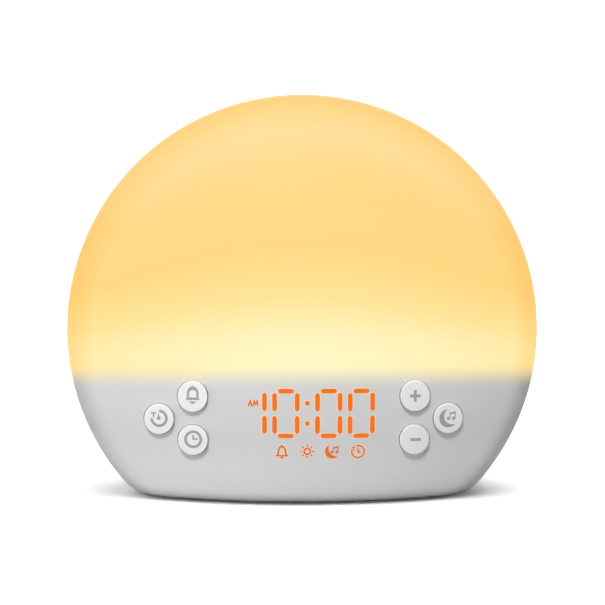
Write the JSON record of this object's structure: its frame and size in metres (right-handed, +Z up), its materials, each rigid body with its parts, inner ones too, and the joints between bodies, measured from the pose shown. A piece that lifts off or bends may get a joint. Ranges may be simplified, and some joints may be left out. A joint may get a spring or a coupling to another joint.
{
  "type": "sunrise alarm clock",
  "caption": "Pebble-shaped bedside wake-up light with a glowing upper half, a hidden seven-segment clock, round push buttons and a rear speaker.",
  "frame": {"origin": "on the table, under the middle of the housing", "axes": "+Z up, the lit face looks along -Y, +X to the right of someone who stands behind it"},
  "size_m": [0.19, 0.082, 0.1618],
  "materials": {
    "diffuser_plastic": "fine satin moulding",
    "cover_plastic": "fine satin moulding",
    "cap_plastic": "smooth satin moulding with a printed sign",
    "reflector_plastic": "smooth moulding",
    "black_plastic": "satin moulding",
    "nylon": "moulded",
    "milky_guide": "milky moulding",
    "white_board": "white solder mask",
    "green_board": "green solder mask",
    "lamp_led": "phosphor window in a white body",
    "display_led": "clear package",
    "chip_epoxy": "moulded epoxy",
    "capacitor_sleeve": "shrunk sleeve",
    "copper": "bright copper",
    "nickel": "nickel plated",
    "stainless_steel": "pressed",
    "zinc_steel": "zinc plated",
    "screw_steel": "zinc plated",
    "ferrite": "ground",
    "cone_paper": "pressed pulp",
    "paper_board": "resin bonded paper",
    "spider_cloth": "resin stiffened cloth",
    "grille_fabric": "woven",
    "black_rubber": "moulded",
    "black_foam": "closed-cell foam",
    "foot_rubber": "moulded",
    "red_lead": "extruded insulation",
    "white_lead": "extruded insulation",
    "black_lead": "extruded insulation",
    "yellow_lead": "extruded insulation"
  },
  "bodies": {
    "root": {"front_shell": "diffuser_plastic", "rear_cover": "cover_plastic", "reflector": "reflector_plastic", "light_shield": "black_plastic", "lamp_board": "white_board", "lamp_leds": "lamp_led", "touch_foil": "copper", "main_board": "green_board", "display_housing": "black_plastic", "display_light_guides": "milky_guide", "display_leds": "display_led", "switch_bodies": "black_plastic", "controller_chip": "chip_epoxy", "small_chips": "chip_epoxy", "capacitors": "capacitor_sleeve", "board_connectors": "nylon", "coin_cell_holder": "black_plastic", "coin_cell": "stainless_steel", "speaker_basket": "zinc_steel", "speaker_surround": "black_rubber", "speaker_spider": "spider_cloth", "speaker_magnet": "ferrite", "speaker_yoke": "zinc_steel", "speaker_top_plate": "zinc_steel", "speaker_gasket": "black_foam", "speaker_terminal": "paper_board", "grille_cloth": "grille_fabric", "power_board": "green_board", "power_board_parts": "chip_epoxy", "dc_jack": "black_plastic", "dc_jack_pin": "nickel", "housing_screws": "screw_steel", "board_screws": "screw_steel", "speaker_screws": "screw_steel", "reflector_screws": "screw_steel", "power_board_screws": "screw_steel", "speaker_cable": "red_lead", "lamp_cable": "white_lead", "power_cable": "black_lead", "touch_lead": "yellow_lead", "feet": "foot_rubber"},
    "alarm_key": {"alarm_button": "cap_plastic", "alarm_plunger": "nylon"},
    "timer_key": {"timer_button": "cap_plastic", "timer_plunger": "nylon"},
    "clock_key": {"clock_button": "cap_plastic", "clock_plunger": "nylon"},
    "plus_key": {"plus_button": "cap_plastic", "plus_plunger": "nylon"},
    "minus_key": {"minus_button": "cap_plastic", "minus_plunger": "nylon"},
    "sleep_sound_key": {"sleep_sound_button": "cap_plastic", "sleep_sound_plunger": "nylon"},
    "cone": {"speaker_cone": "cone_paper", "voice_coil": "copper"}
  },
  "joints": [
    {"name": "alarm_press", "type": "slide", "parent": "root", "child": "alarm_key", "axis": [0, 1, 0], "range_m": [0, 0.0005], "stiffness_N_per_m": 3200, "springref_m": -0.0002},
    {"name": "timer_press", "type": "slide", "parent": "root", "child": "timer_key", "axis": [0, 1, 0], "range_m": [0, 0.0005], "stiffness_N_per_m": 3200, "springref_m": -0.0002},
    {"name": "clock_press", "type": "slide", "parent": "root", "child": "clock_key", "axis": [0, 1, 0], "range_m": [0, 0.0005], "stiffness_N_per_m": 3200, "springref_m": -0.0002},
    {"name": "plus_press", "type": "slide", "parent": "root", "child": "plus_key", "axis": [0, 1, 0], "range_m": [0, 0.0005], "stiffness_N_per_m": 3200, "springref_m": -0.0002},
    {"name": "minus_press", "type": "slide", "parent": "root", "child": "minus_key", "axis": [0, 1, 0], "range_m": [0, 0.0005], "stiffness_N_per_m": 3200, "springref_m": -0.0002},
    {"name": "sleep_sound_press", "type": "slide", "parent": "root", "child": "sleep_sound_key", "axis": [0, 1, 0], "range_m": [0, 0.0005], "stiffness_N_per_m": 3200, "springref_m": -0.0002},
    {"name": "cone_stroke", "type": "slide", "parent": "root", "child": "cone", "axis": [0, 1, 0], "range_m": [-0.0008, 0.0008], "stiffness_N_per_m": 1000}
  ]
}
